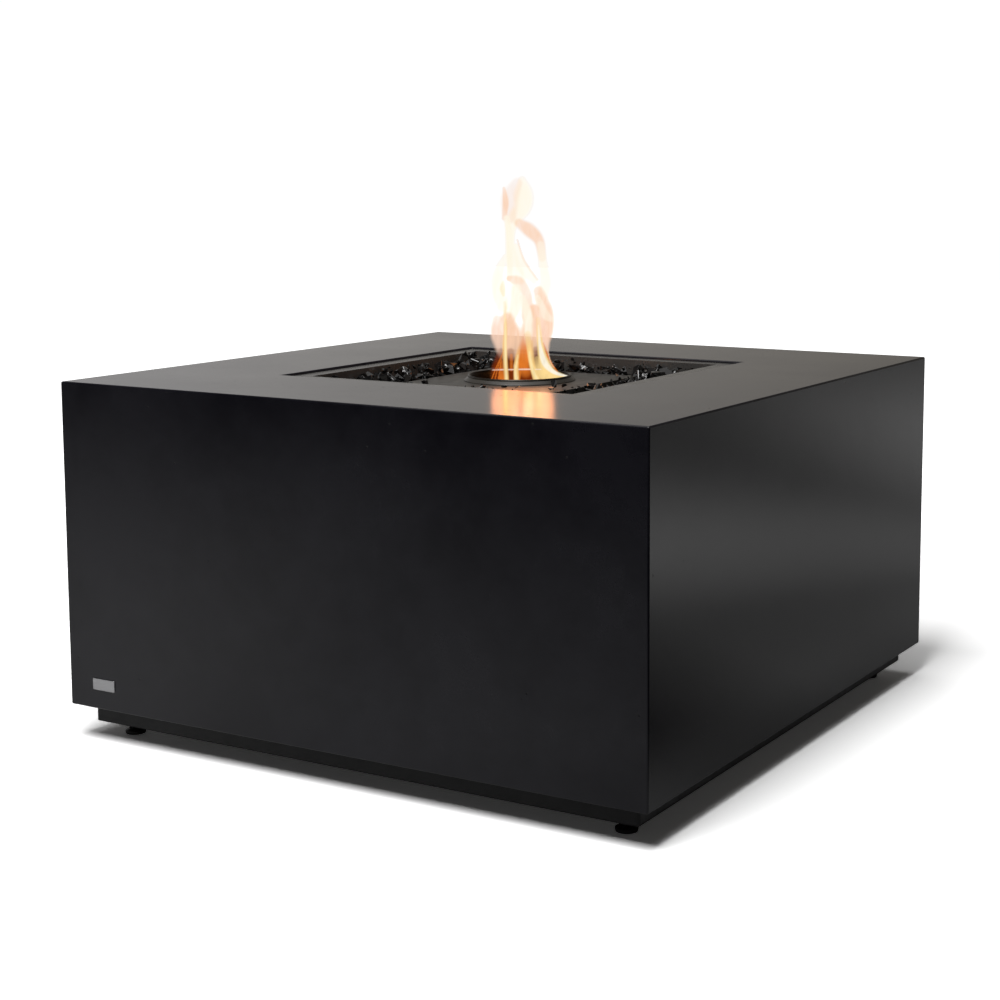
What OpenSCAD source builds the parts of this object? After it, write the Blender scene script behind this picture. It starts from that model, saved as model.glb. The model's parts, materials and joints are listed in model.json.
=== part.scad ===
// Square fire pit table: a cast concrete shell on a recessed steel plinth with levelling feet,
// a drop-in fire tray filled with crushed glass, and a lift-out round bioethanol burner.
// Millimetres. +Z is up, the origin is on the floor under the centre, the front faces -Y.

/* [Cabinet] */
// Side of the square concrete body
body_w = 762; // [720:1:800]
// Height of the concrete body, without plinth and feet
shell_h = 379; // [340:1:420]
// Thickness of the four side walls
wall_t = 18; // [16:1:24]
// Thickness of the top slab
slab_t = 26; // [24:1:34]
// Bevel along the outer edges
edge_bevel = 2; // [1:0.5:3]

/* [Fire opening] */
// Side of the square opening in the top
opening_w = 406; // [396:1:416]
// Width of the visible flange of the fire tray
flange_w = 22; // [20:1:24]
// Depth of the flange's upper face below the table top
flange_drop = 2.5; // [2:0.5:4]
// Depth of the fire tray's floor below the table top
tray_depth = 60; // [50:1:70]

/* [Burner] */
// Side of the square burner top plate
plate_w = 210; // [206:1:216]
// Depth of the burner plate's upper face below the table top
plate_drop = 14; // [12:1:18]
// Radius of the round burner mouth, inside its neck
mouth_r = 61; // [58:1:64]
// Radius of the burner drum under the plate
drum_r = 98; // [94:1:98]
// Height of the burner drum under the plate
drum_h = 110; // [90:1:120]

/* [Plinth and feet] */
// Distance of the plinth's outer face from the outer face of the body
plinth_inset = 20; // [19:1:30]
// Height of plinth that shows under the body
plinth_h = 23; // [16:1:30]
// Height of the plinth's underside above the floor, with the feet screwed in
foot_gap = 17; // [17:0.5:20]
// Distance of each foot's axis from the outer face of the body
foot_inset = 51; // [50:1:54]
// Diameter of a foot pad
pad_d = 24; // [22:1:30]
// Nominal diameter of the foot studs and anchor bolts
stud_d = 8; // [8:1:10]

/* [Badge] */
// Width of the blank badge plate on the front
badge_w = 33; // [25:1:45]
// Height of the badge plate
badge_h = 13.4; // [10:0.2:18]

/* [Hidden] */
CORNERS = [["front_left", -1, -1], ["front_right", 1, -1], ["back_right", 1, 1], ["back_left", -1, 1]];
SIDES = [["front", 0], ["right", 90], ["back", 180], ["left", 270]];
$fn = 64;

concrete = "#3a3b3e";
plinth_paint = "#2b2b2d";
black_steel = "#1f1f20";
stainless = "#9a9a98";
zinc = "#b8bcc0";
glass_black = "#14161a";

z_plinth = foot_gap;
z_shell = z_plinth + plinth_h;
z_top = z_shell + shell_h;
body_half = body_w / 2;
cavity_half = body_half - wall_t;
cavity_corner_r = 8;

// fire opening and tray, from the table top down
sheet_t = 2;                                    // steel of tray, cradle and well
gasket_t = 2;
rebate_d = flange_drop + sheet_t + gasket_t;
flange_half = opening_w / 2 - 2;                // 2 mm shadow gap all round
tray_half = flange_half - flange_w + sheet_t;   // outer faces of the tray walls
tray_inner = tray_half - sheet_t;
through_half = tray_half + 4;                   // hole through the slab
z_flange = z_top - flange_drop;
z_tray_floor = z_top - tray_depth + sheet_t;    // upper face of the tray floor
drain_at = 150;
drain_d = 8;

// burner
plate_half = plate_w / 2;
plate_t = 2;
plate_lip = 8;
lip_t = 1.5;
z_plate = z_top - plate_drop;                   // upper face of the burner plate
z_under_plate = z_plate - plate_t;
cradle_half = plate_half - 3;
well_r = drum_r + 2;
drum_t = 1.2;
z_drum = z_under_plate - drum_h;
z_well = z_drum - 4 - sheet_t;
can_t = 1;
can_r = drum_r - 8;
spacer_h = 4.8;
z_can = z_drum + drum_t + spacer_h;
z_can_top = z_under_plate - 15;
can_lid_t = 1.2;
wick_h = z_can_top - z_can - 16;
neck_t = 0.8;
mouth_ledge = 4;                                // ledge that carries the baffle
baffle_t = 1.5;
baffle_hole_d = 6;

// plinth and feet
plinth_half = body_half - plinth_inset;
rail_t = 3;
rail_h = 58;
rail_flange_w = 50;
rail_bend_r = 4;
corner_plate_w = 76;
corner_plate_t = 4;
foot_at = body_half - foot_inset;
insert_d = 13;
weld_nut_af = 17;
weld_nut_h = 10;
hex_af = 13;                                    // adjusting hexagon and lock nut
locknut_h = 5.5;
thread_gap = 0.08;                              // radial clearance of a stud in its nut
stud_top = 52;
sole_t = 1.5;
pad_h = 6;
socket_r = 5;
socket_h = 3;
socket_z = 2.2;
neck_r = 3.5;
running_gap = 0.1;

// anchors that hold the shell on the plinth rails
anchor_at = 220;
z_anchor = z_shell + 19;
socket_d = 12;
anchor_depth = 14;
washer_t = 1.6;
bolt_head_h = 5.3;
bolt_head_af = 13;
shim_w = 40;
shim_h = 26;

badge_t = 0.8;
badge_glue_t = 0.4;
badge_x = -body_half + 53.3;
badge_z = z_shell + 29.7;

bed_gap = 0.5;                                  // between the glass and the steel round it
bed_outer = tray_inner - bed_gap;
bed_inner = plate_half + 1.5;
bed_cells_along = 18;
bed_cells_across = 4;
bed_bump = 7;
z_bed_low = z_top - 15.5;                       // lowest dips of the bed's surface

// ---------- helpers ----------

// A square of half side h with corners of radius r, as straight pieces and true circles.
module round_square(h, r) {
    square([2 * h, 2 * (h - r)], center = true);
    square([2 * (h - r), 2 * h], center = true);
    for (x = [-1, 1], y = [-1, 1]) translate([x * (h - r), y * (h - r)]) circle(r);
}

// A square tube from z0 to z1, between two half sides.
module square_tube(outer, inner, z0, z1, r) {
    translate([0, 0, z0]) linear_extrude(z1 - z0) difference() {
        round_square(outer, r);
        round_square(inner, max(0.5, r - (outer - inner)));
    }
}

// Four bars that bevel the horizontal edges of a square of half side h at height z.
module edge_bars(h, z, bevel) {
    for (a = [0 : 90 : 270]) rotate([0, 0, a]) translate([h, 0, z]) rotate([0, 45, 0])
        cube([bevel * sqrt(2), 2 * h + 2 * bevel, bevel * sqrt(2)], center = true);
}

// A round tube from z0 to z1.
module tube(r_out, r_in, z0, z1, fn = 96) {
    translate([0, 0, z0]) difference() {
        cylinder(r = r_out, h = z1 - z0, $fn = fn);
        translate([0, 0, -1]) cylinder(r = r_in, h = z1 - z0 + 2, $fn = fn);
    }
}

// A hexagonal prism across flats af, from z0 to z1, with a round bore.
module hex_nut(af, bore, z0, z1) {
    translate([0, 0, z0]) difference() {
        cylinder(d = af / cos(30), h = z1 - z0, $fn = 6);
        translate([0, 0, -1]) cylinder(d = bore, h = z1 - z0 + 2);
    }
}

// Places its children at the two anchors on each of the four sides, with +X pointing outward.
module at_anchors() {
    for (a = [0 : 90 : 270], s = [-1, 1]) rotate([0, 0, a]) translate([0, s * anchor_at, z_anchor])
        rotate([0, 90, 0]) children();
}

function side_angle(name) = [for (s = SIDES) if (s[0] == name) s[1]][0];
function corner_xy(name) = [for (c = CORNERS) if (c[0] == name) [c[1] * foot_at, c[2] * foot_at, 0]][0];
function corner_turn(name) = [for (i = [0 : 3]) if (CORNERS[i][0] == name) 90 * i][0];

// ---------- cabinet ----------

module concrete_shell() {
    color(concrete) difference() {
        translate([-body_half, -body_half, z_shell]) cube([body_w, body_w, shell_h]);
        edge_bars(body_half, z_top, edge_bevel);
        edge_bars(body_half, z_shell, edge_bevel);
        for (x = [-1, 1], y = [-1, 1]) translate([x * body_half, y * body_half, z_shell - 1]) rotate([0, 0, 45])
            linear_extrude(shell_h + 2) square(edge_bevel * sqrt(2), center = true);
        translate([0, 0, z_shell - 1]) linear_extrude(shell_h - slab_t + 1)
            round_square(cavity_half, cavity_corner_r);
        translate([0, 0, z_top - slab_t - 1]) linear_extrude(slab_t + 2) round_square(through_half, 6);
        translate([-opening_w / 2, -opening_w / 2, z_top - rebate_d]) cube([opening_w, opening_w, rebate_d + 1]);
        at_anchors() translate([0, 0, cavity_half - 1]) cylinder(d = socket_d, h = anchor_depth + 1);
    }
}

module tray_gasket() {
    color("#4a4744")
        square_tube(flange_half, through_half + 1, z_top - rebate_d, z_top - rebate_d + gasket_t, 2);
}

module badge_slab(w, h, y0, y1) {
    translate([badge_x, y1, badge_z]) rotate([90, 0, 0]) linear_extrude(y1 - y0) {
        square([w, h - 1.6], center = true);
        square([w - 1.6, h], center = true);
        for (x = [-1, 1], z = [-1, 1]) translate([x * (w / 2 - 0.8), z * (h / 2 - 0.8)]) circle(0.8);
    }
}

module badge_plate() {
    color("silver")
        badge_slab(badge_w, badge_h, -body_half - badge_glue_t - badge_t, -body_half - badge_glue_t);
}

module badge_adhesive() {
    color("#202020") badge_slab(badge_w - 2, badge_h - 2, -body_half - badge_glue_t, -body_half);
}

// ---------- plinth ----------

// The folded L of a rail: x is the distance inward from the plinth's outer face, y the height.
module rail_profile() {
    translate([0, rail_bend_r]) square([rail_t, rail_h - rail_bend_r]);
    translate([rail_bend_r, 0]) square([rail_flange_w - rail_bend_r, rail_t]);
    intersection() {
        square(rail_bend_r);
        translate([rail_bend_r, rail_bend_r]) difference() {
            circle(rail_bend_r);
            circle(rail_bend_r - rail_t);
        }
    }
}

// One rail with mitred ends, drawn on the right-hand (+X) side and turned to its own side.
module plinth_rail(side) {
    reach = rail_flange_w + 10;
    color(plinth_paint) rotate([0, 0, side_angle(side) - 90]) difference() {
        intersection() {
            translate([plinth_half, 0, z_plinth]) rotate([90, 0, 0]) mirror([1, 0, 0])
                linear_extrude(2 * plinth_half, center = true) rail_profile();
            translate([0, 0, z_plinth - 1]) linear_extrude(rail_h + 2) polygon([
                [plinth_half, -plinth_half], [plinth_half, plinth_half],
                [plinth_half - reach, plinth_half - reach], [plinth_half - reach, reach - plinth_half]
            ]);
            translate([0, 0, z_plinth - 1]) linear_extrude(rail_h + 2) round_square(plinth_half, rail_t);
        }
        for (y = [-1, 1]) translate([foot_at, y * foot_at, z_plinth - 1]) cylinder(d = insert_d + 0.1, h = rail_t + 2);
        for (y = [-1, 1]) translate([plinth_half - rail_t - 1, y * anchor_at, z_anchor]) rotate([0, 90, 0])
            cylinder(d = stud_d + 1, h = rail_t + 2);
    }
}

module corner_plate(corner) {
    edge = plinth_half - rail_bend_r;
    inner = edge - corner_plate_w;
    cut = 30;
    color(plinth_paint) rotate([0, 0, corner_turn(corner)]) mirror([1, 1, 0])
        translate([0, 0, z_plinth + rail_t]) difference() {
            linear_extrude(corner_plate_t) polygon([
                [inner + cut, inner], [edge, inner], [edge, edge], [inner, edge], [inner, inner + cut]
            ]);
            translate([foot_at, foot_at, -1]) cylinder(d = insert_d + 0.1, h = corner_plate_t + 2);
        }
}

module foot_inserts() {
    z_plate_top = z_plinth + rail_t + corner_plate_t;
    bore = stud_d + 2 * thread_gap;
    color(zinc) for (c = CORNERS) translate(corner_xy(c[0])) difference() {
        union() {
            translate([0, 0, z_plinth]) cylinder(d = insert_d, h = rail_t + corner_plate_t);
            translate([0, 0, z_plate_top]) cylinder(d = weld_nut_af / cos(30), h = weld_nut_h, $fn = 6);
        }
        translate([0, 0, z_plinth - 1]) cylinder(d = bore, h = 2 * weld_nut_h);
    }
}

module foot_locknuts() {
    color(black_steel) for (c = CORNERS) translate(corner_xy(c[0]))
        hex_nut(hex_af, stud_d + 2 * thread_gap, z_plinth - locknut_h, z_plinth);
}

// ---------- feet ----------

module foot_stud(corner) {
    hex_z = pad_h + 0.3;
    color(black_steel) translate(corner_xy(corner)) {
        translate([0, 0, hex_z + 1]) cylinder(d = stud_d, h = stud_top - hex_z - 2);
        translate([0, 0, stud_top - 1]) cylinder(d1 = stud_d, d2 = stud_d - 2, h = 1);
        translate([0, 0, hex_z]) cylinder(d = hex_af / cos(30), h = z_plinth - locknut_h - hex_z - 0.3, $fn = 6);
        translate([0, 0, socket_z + socket_h - 0.5]) cylinder(r = neck_r, h = hex_z - socket_z - socket_h + 1);
        translate([0, 0, socket_z]) cylinder(r = socket_r, h = socket_h);
    }
}

module foot_pad(corner) {
    rim_h = 2.2;
    dome_r = 4;
    r = pad_d / 2;
    color("#111111") translate(corner_xy(corner)) difference() {
        union() {
            translate([0, 0, sole_t]) cylinder(r = r, h = rim_h, $fn = 96);
            translate([0, 0, sole_t + rim_h]) cylinder(r1 = r - 0.6, r2 = r - dome_r, h = pad_h - sole_t - rim_h, $fn = 96);
        }
        translate([0, 0, socket_z - running_gap]) cylinder(r = socket_r + running_gap, h = socket_h + 2 * running_gap);
        translate([0, 0, socket_z]) cylinder(r = neck_r + running_gap, h = pad_h);
    }
}

module foot_sole(corner) {
    color("#080808") translate(corner_xy(corner)) cylinder(r = pad_d / 2 - 0.5, h = sole_t, $fn = 96);
}

// ---------- anchors between shell and plinth ----------

module anchor_sockets() {
    color(zinc) at_anchors() tube(socket_d / 2, stud_d / 2 + 0.1, cavity_half, cavity_half + anchor_depth, 48);
}

module anchor_bolts() {
    seat = plinth_half - rail_t - washer_t;
    color(zinc) at_anchors() {
        translate([0, 0, seat - bolt_head_h]) cylinder(d = bolt_head_af / cos(30), h = bolt_head_h, $fn = 6);
        translate([0, 0, seat - 1]) cylinder(d = stud_d, h = cavity_half + anchor_depth - seat - 1);
    }
}

module anchor_washers() {
    color(zinc) at_anchors()
        tube(stud_d, stud_d / 2 + 0.2, plinth_half - rail_t - washer_t, plinth_half - rail_t, 48);
}

module shim_pads() {
    color("#151515") at_anchors() translate([0, 0, plinth_half]) difference() {
        translate([-shim_h / 2, -shim_w / 2, 0]) cube([shim_h, shim_w, cavity_half - plinth_half]);
        translate([0, 0, -1]) cylinder(d = stud_d + 1, h = plinth_inset);
    }
}

// ---------- fire tray ----------

module fire_tray() {
    floor_z = z_tray_floor - sheet_t;
    color(black_steel) difference() {
        union() {
            translate([0, 0, floor_z]) linear_extrude(z_flange - floor_z) round_square(tray_half, 3);
            translate([0, 0, z_flange - sheet_t]) linear_extrude(sheet_t) round_square(flange_half, 2);
        }
        translate([0, 0, z_tray_floor]) linear_extrude(tray_depth) round_square(tray_inner, 1);
        translate([0, 0, floor_z - 1]) cylinder(r = well_r, h = sheet_t + 2, $fn = 128);
        for (x = [-1, 1], y = [-1, 1]) translate([x * drain_at, y * drain_at, floor_z - 1])
            cylinder(d = drain_d, h = sheet_t + 2);
    }
}

module burner_cradle() {
    color(black_steel) square_tube(cradle_half, cradle_half - sheet_t, z_tray_floor, z_under_plate, 3);
}

module burner_well() {
    rim_z = z_tray_floor - sheet_t;
    color(black_steel) difference() {
        union() {
            translate([0, 0, z_well]) cylinder(r = well_r + sheet_t, h = rim_z - z_well, $fn = 128);
            translate([0, 0, rim_z - sheet_t]) cylinder(r = well_r + 12, h = sheet_t, $fn = 128);
        }
        translate([0, 0, z_well + sheet_t]) cylinder(r = well_r, h = rim_z - z_well, $fn = 128);
        translate([0, 0, z_well - 1]) cylinder(d = 12, h = sheet_t + 2);
    }
}

// One side of the bed of crushed glass: a mitred trough filling with an uneven top.
module glass_bed(side) {
    na = bed_cells_along;
    nc = bed_cells_across;
    bumps = rands(0, bed_bump, (na + 1) * (nc + 1), side_angle(side) + 7);
    function half_at(j) = bed_outer + (bed_inner - bed_outer) * j / nc;
    function spot(i, j) = [half_at(j) * (2 * i / na - 1), -half_at(j)];
    function number(i, j) = i * (nc + 1) + j;
    top = [for (i = [0 : na], j = [0 : nc]) [spot(i, j)[0], spot(i, j)[1], z_bed_low + bumps[number(i, j)]]];
    n = len(top);
    rim = concat(
        [for (i = [0 : na - 1]) number(i, 0)], [for (j = [0 : nc - 1]) number(na, j)],
        [for (i = [na : -1 : 1]) number(i, nc)], [for (j = [nc : -1 : 1]) number(0, j)]
    );
    m = len(rim);
    low = [for (k = [0 : m - 1]) [top[rim[k]][0], top[rim[k]][1], z_tray_floor]];
    middle = [0, -(bed_outer + bed_inner) / 2, z_tray_floor];
    faces = concat(
        [for (i = [0 : na - 1], j = [0 : nc - 1]) [number(i, j), number(i, j + 1), number(i + 1, j + 1)]],
        [for (i = [0 : na - 1], j = [0 : nc - 1]) [number(i, j), number(i + 1, j + 1), number(i + 1, j)]],
        [for (k = [0 : m - 1]) [rim[k], rim[(k + 1) % m], n + (k + 1) % m]],
        [for (k = [0 : m - 1]) [rim[k], n + (k + 1) % m, n + k]],
        [for (k = [0 : m - 1]) [n + m, n + k, n + (k + 1) % m]]
    );
    color(glass_black) rotate([0, 0, side_angle(side)])
        polyhedron(points = concat(top, low, [middle]), faces = faces);
}

// ---------- burner ----------

module burner_plate() {
    color(black_steel) difference() {
        translate([0, 0, z_under_plate - plate_lip]) linear_extrude(plate_lip + plate_t) round_square(plate_half, 3);
        translate([0, 0, z_under_plate - plate_lip - 1]) linear_extrude(plate_lip + 1)
            round_square(plate_half - lip_t, 1.5);
        translate([0, 0, z_under_plate - 1]) cylinder(r = mouth_r + neck_t + 0.2, h = plate_t + 2, $fn = 128);
    }
}

module burner_neck() {
    color(stainless) tube(mouth_r + neck_t, mouth_r, z_can_top + can_lid_t, z_plate, 128);
}

module burner_drum() {
    color(stainless) difference() {
        translate([0, 0, z_drum]) cylinder(r = drum_r, h = drum_h, $fn = 128);
        translate([0, 0, z_drum + drum_t]) cylinder(r = drum_r - drum_t, h = drum_h, $fn = 128);
    }
}

module fuel_reservoir() {
    color(stainless) difference() {
        translate([0, 0, z_can]) cylinder(r = can_r, h = z_can_top - z_can, $fn = 128);
        translate([0, 0, z_can + can_t]) cylinder(r = can_r - can_t, h = z_can_top - z_can, $fn = 128);
    }
}

module reservoir_top() {
    color(stainless) tube(can_r, mouth_r - mouth_ledge, z_can_top, z_can_top + can_lid_t, 128);
}

module reservoir_spacers() {
    color("#c9c3b4") for (a = [0 : 120 : 240]) rotate([0, 0, a]) translate([can_r - 15, 0, z_drum + drum_t])
        cylinder(d = 16, h = spacer_h);
}

module ceramic_wick() {
    color("#e8e4da") translate([0, 0, z_can + can_t]) cylinder(r = can_r - can_t - 1, h = wick_h, $fn = 96);
}

// A perforated disc that lies on the ledge under the neck: the flame comes up through its holes.
module burner_baffle() {
    ring_step = 13.2;
    color(stainless) translate([0, 0, z_can_top + can_lid_t]) difference() {
        cylinder(r = mouth_r - 0.5, h = baffle_t, $fn = 128);
        translate([0, 0, -1]) cylinder(d = baffle_hole_d, h = baffle_t + 2);
        for (ring = [1 : 4], k = [0 : 6 * ring - 1]) rotate([0, 0, 60 * k / ring])
            translate([ring * ring_step, 0, -1]) cylinder(d = baffle_hole_d, h = baffle_t + 2);
    }
}

// The removable ring round the burner mouth: a skirt in the neck, a slim rolled lip and a sloping apron.
module burner_collar() {
    lip_r = 1.5;
    lip_at = mouth_r + 0.8;
    lip_z = 5.4;
    skin = 1;
    skirt_out = mouth_r - 0.4;
    skirt_h = 10;
    apron_r = mouth_r + 7;
    lip = [for (a = [-30 : 20 : 190]) [lip_at + lip_r * cos(a), lip_z + lip_r * sin(a)]];
    color(stainless) translate([0, 0, z_plate]) rotate_extrude($fn = 128) polygon(concat(
        [[skirt_out - skin, -skirt_h], [skirt_out, -skirt_h], [skirt_out, lip_z - 1.3], [lip_at, lip_z - 1.5]],
        [[apron_r - 1, 0], [apron_r, 0], [apron_r, 1.1]],
        lip,
        [[skirt_out - skin, lip_z - 0.5]]
    ));
}

// An angular glass chunk that stands on z = 0.
module shard(size, turn) {
    intersection() {
        translate([0, 0, 0.32 * size]) rotate([turn, turn / 2, 2 * turn])
            cube([1.1 * size, 0.8 * size, 0.7 * size], center = true);
        translate([0, 0, 0.3 * size]) rotate([30 - turn, 50 + turn, 15])
            cube([0.9 * size, size, 0.9 * size], center = true);
        translate([-size, -size, 0]) cube(2 * size);
    }
}

// Chunks that have fallen on the burner plate: x, y, size and turn of each.
module loose_glass() {
    spots = [[34, -90, 9, 25], [56, -94, 8, 60], [84, -74, 12, 100], [-78, -92, 8, 40],
             [95, -54, 8, 75], [-92, 70, 9, 10], [88, 86, 9, 130], [8, -96, 7, 85]];
    color(glass_black) for (s = spots) translate([s[0], s[1], z_plate]) shard(s[2], s[3]);
}

// ---------- output ----------

concrete_shell();
tray_gasket();
badge_plate();
badge_adhesive();
for (s = SIDES) plinth_rail(s[0]);
for (c = CORNERS) corner_plate(c[0]);
foot_inserts();
foot_locknuts();
anchor_sockets();
anchor_bolts();
anchor_washers();
shim_pads();
for (c = CORNERS) foot_stud(c[0]);
for (c = CORNERS) foot_pad(c[0]);
for (c = CORNERS) foot_sole(c[0]);
fire_tray();
burner_cradle();
burner_well();
for (s = SIDES) glass_bed(s[0]);
burner_plate();
burner_neck();
burner_drum();
fuel_reservoir();
reservoir_top();
reservoir_spacers();
ceramic_wick();
burner_baffle();
loose_glass();
burner_collar();
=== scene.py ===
import bpy, bmesh, json, math, random
import numpy as np
from mathutils import Vector, Matrix

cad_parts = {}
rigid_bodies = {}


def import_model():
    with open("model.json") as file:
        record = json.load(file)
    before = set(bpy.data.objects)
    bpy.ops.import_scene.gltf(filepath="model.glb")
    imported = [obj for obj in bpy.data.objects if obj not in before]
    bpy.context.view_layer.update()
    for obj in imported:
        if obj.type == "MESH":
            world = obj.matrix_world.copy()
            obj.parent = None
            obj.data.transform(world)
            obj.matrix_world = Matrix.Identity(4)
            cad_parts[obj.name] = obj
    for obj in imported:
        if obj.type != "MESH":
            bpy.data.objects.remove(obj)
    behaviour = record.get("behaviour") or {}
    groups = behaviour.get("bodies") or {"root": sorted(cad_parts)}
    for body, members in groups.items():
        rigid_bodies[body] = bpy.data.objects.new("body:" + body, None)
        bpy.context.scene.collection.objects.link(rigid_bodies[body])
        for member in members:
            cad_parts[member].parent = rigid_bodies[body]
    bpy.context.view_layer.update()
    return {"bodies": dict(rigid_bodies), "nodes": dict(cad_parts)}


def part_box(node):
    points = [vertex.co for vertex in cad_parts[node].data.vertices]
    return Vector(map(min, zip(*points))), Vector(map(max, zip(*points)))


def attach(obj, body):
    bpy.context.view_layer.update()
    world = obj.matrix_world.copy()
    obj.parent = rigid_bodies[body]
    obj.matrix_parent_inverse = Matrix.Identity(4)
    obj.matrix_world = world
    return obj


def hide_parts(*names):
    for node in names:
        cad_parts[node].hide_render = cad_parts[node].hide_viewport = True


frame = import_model()

CORNERS = ["front_left", "front_right", "back_right", "back_left"]
SIDES = ["front", "right", "back", "left"]
Z_SHELL, Z_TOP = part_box("concrete_shell")[0].z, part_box("concrete_shell")[1].z
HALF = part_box("concrete_shell")[1].x
Z_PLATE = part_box("burner_plate")[1].z

# ---------------------------------------------------------------- camera
AZIMUTH, ELEVATION = math.radians(29.84), math.radians(7.01)
RIGHT = Vector((math.cos(AZIMUTH), math.sin(AZIMUTH), 0))
AWAY = Vector((-math.sin(AZIMUTH), math.cos(AZIMUTH), 0))


def make_camera():
    """The photograph's view: from the front right, a little above the top, with a shift for the framing."""
    data = bpy.data.cameras.new("camera")
    data.lens = 66.72
    data.sensor_width = 36.0
    data.shift_x = -0.0873
    data.shift_y = -0.1007
    data.clip_end = 60
    ob = bpy.data.objects.new("camera", data)
    bpy.context.scene.collection.objects.link(ob)
    bpy.context.scene.camera = ob
    ob.location = (1.189, -1.907, 0.657)
    look = AWAY * math.cos(ELEVATION) - Vector((0, 0, math.sin(ELEVATION)))
    ob.rotation_euler = look.to_track_quat("-Z", "Y").to_euler()
    return ob


camera = make_camera()
bpy.context.scene.view_settings.view_transform = "Standard"


# ---------------------------------------------------------------- shader nodes
class Nodes:
    """A small builder for node trees. Distances are in metres, noise scales in waves per metre."""

    def __init__(self, tree, space="Object"):
        self.tree = tree
        self.coord = self.node("ShaderNodeTexCoord").outputs[space]

    def node(self, kind, **props):
        made = self.tree.nodes.new(kind)
        for name, value in props.items():
            setattr(made, name, value)
        return made

    def put(self, socket, value):
        """Link a socket, or set its plain value."""
        if isinstance(value, bpy.types.NodeSocket):
            self.tree.links.new(value, socket)
        else:
            socket.default_value = value

    def vector_math(self, operation, a, b=(0, 0, 0)):
        made = self.node("ShaderNodeVectorMath", operation=operation)
        self.put(made.inputs[0], a)
        self.put(made.inputs[1], b)
        return made.outputs["Value" if operation in ("LENGTH", "DOT_PRODUCT") else "Vector"]

    def along(self, direction):
        """How far the point lies along a direction."""
        return self.vector_math("DOT_PRODUCT", self.coord, direction)

    def scaled(self, x, y, z):
        made = self.node("ShaderNodeMapping")
        self.put(made.inputs["Vector"], self.coord)
        self.put(made.inputs["Scale"], (x, y, z))
        return made.outputs[0]

    def noise(self, scale, detail=3.0, rough=0.5, vector=None, distortion=0.0):
        made = self.node("ShaderNodeTexNoise")
        self.put(made.inputs["Vector"], vector or self.coord)
        self.put(made.inputs["Scale"], scale)
        self.put(made.inputs["Detail"], detail)
        self.put(made.inputs["Roughness"], rough)
        self.put(made.inputs["Distortion"], distortion)
        return made.outputs["Fac"]

    def cells(self, scale):
        """Distance to the nearest of many scattered points."""
        made = self.node("ShaderNodeTexVoronoi")
        self.put(made.inputs["Vector"], self.coord)
        self.put(made.inputs["Scale"], scale)
        return made.outputs["Distance"]

    def remap(self, value, low, high, to_low=0.0, to_high=1.0):
        made = self.node("ShaderNodeMapRange")
        for i, number in enumerate((value, low, high, to_low, to_high)):
            self.put(made.inputs[i], number)
        return made.outputs[0]

    def math(self, operation, a, b=0.0):
        made = self.node("ShaderNodeMath", operation=operation)
        self.put(made.inputs[0], a)
        self.put(made.inputs[1], b)
        return made.outputs[0]

    def times(self, first, *others):
        for other in others:
            first = self.math("MULTIPLY", first, other)
        return first

    def weigh(self, a, share_a, b, share_b):
        return self.math("ADD", self.times(a, share_a), self.times(b, share_b))

    def mix(self, share, a, b, blend="MIX"):
        """Two colours, as RGB tuples or sockets."""
        made = self.node("ShaderNodeMix", data_type="RGBA", blend_type=blend)
        self.put(made.inputs["Factor"], share)
        for name, colour in (("A", a), ("B", b)):
            socket = [i for i in made.inputs if i.name == name and i.type == "RGBA"][0]
            self.put(socket, colour if isinstance(colour, bpy.types.NodeSocket) else (*colour, 1.0))
        return [o for o in made.outputs if o.type == "RGBA"][0]

    def bump(self, height, strength, distance, normal=None):
        made = self.node("ShaderNodeBump")
        self.put(made.inputs["Strength"], strength)
        self.put(made.inputs["Distance"], distance)
        self.put(made.inputs["Height"], height)
        if normal is not None:
            self.put(made.inputs["Normal"], normal)
        return made.outputs[0]

    def is_ray(self, kind):
        return self.node("ShaderNodeLightPath").outputs["Is " + kind + " Ray"]


class Finish(Nodes):
    """A procedural surface finish on the Principled shader."""

    def __init__(self, name, rough=0.5, metallic=0.0, specular=0.5):
        self.material = bpy.data.materials.new(name)
        self.material.use_nodes = True
        super().__init__(self.material.node_tree)
        self.shader = self.tree.nodes["Principled BSDF"]
        self.set("Roughness", rough)
        self.set("Metallic", metallic)
        self.set("Specular IOR Level", specular)

    def set(self, socket, value):
        self.put(self.shader.inputs[socket], value)


# ---------------------------------------------------------------- materials
def concrete():
    """Dark sealed concrete: cloudy tone, fine grain, a few pinholes with painted shade in them, and faint
    waves.
    """
    m = Finish("concrete_dark", specular=0.42)
    cloud = m.noise(5.0, 5, 0.55)
    mottle = m.noise(38.0, 4, 0.6)
    grain = m.noise(900.0, 2, 0.5)
    tone = m.remap(m.weigh(cloud, 0.65, mottle, 0.35), 0.40, 0.60)
    base = m.mix(tone, (0.0046, 0.0042, 0.0072), (0.0118, 0.0114, 0.0156))
    base = m.mix(m.remap(grain, 0.55, 0.8, 0, 0.5), base, (0.015, 0.015, 0.017))
    # pinholes only where a second noise lets them through; their near-black colour is painted shade
    solid = m.remap(m.cells(70.0), 0.04, 0.10)
    clear_of_holes = m.math("SUBTRACT", 1.0, m.remap(m.noise(23.0, 1), 0.60, 0.63))
    solid = m.math("MAXIMUM", solid, clear_of_holes)
    m.set("Base Color", m.mix(solid, (0.003, 0.003, 0.0035), base))
    m.set("Roughness", m.remap(m.weigh(cloud, 0.5, grain, 0.5), 0.3, 0.7, 0.13, 0.20))
    waves = m.bump(m.noise(9.0, 3, 0.5), 0.10, 0.0020)
    cast_grain = m.bump(m.noise(420.0, 3, 0.6), 0.07, 0.0003, waves)
    m.set("Normal", m.bump(solid, 0.5, 0.0006, cast_grain))
    return m.material


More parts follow.
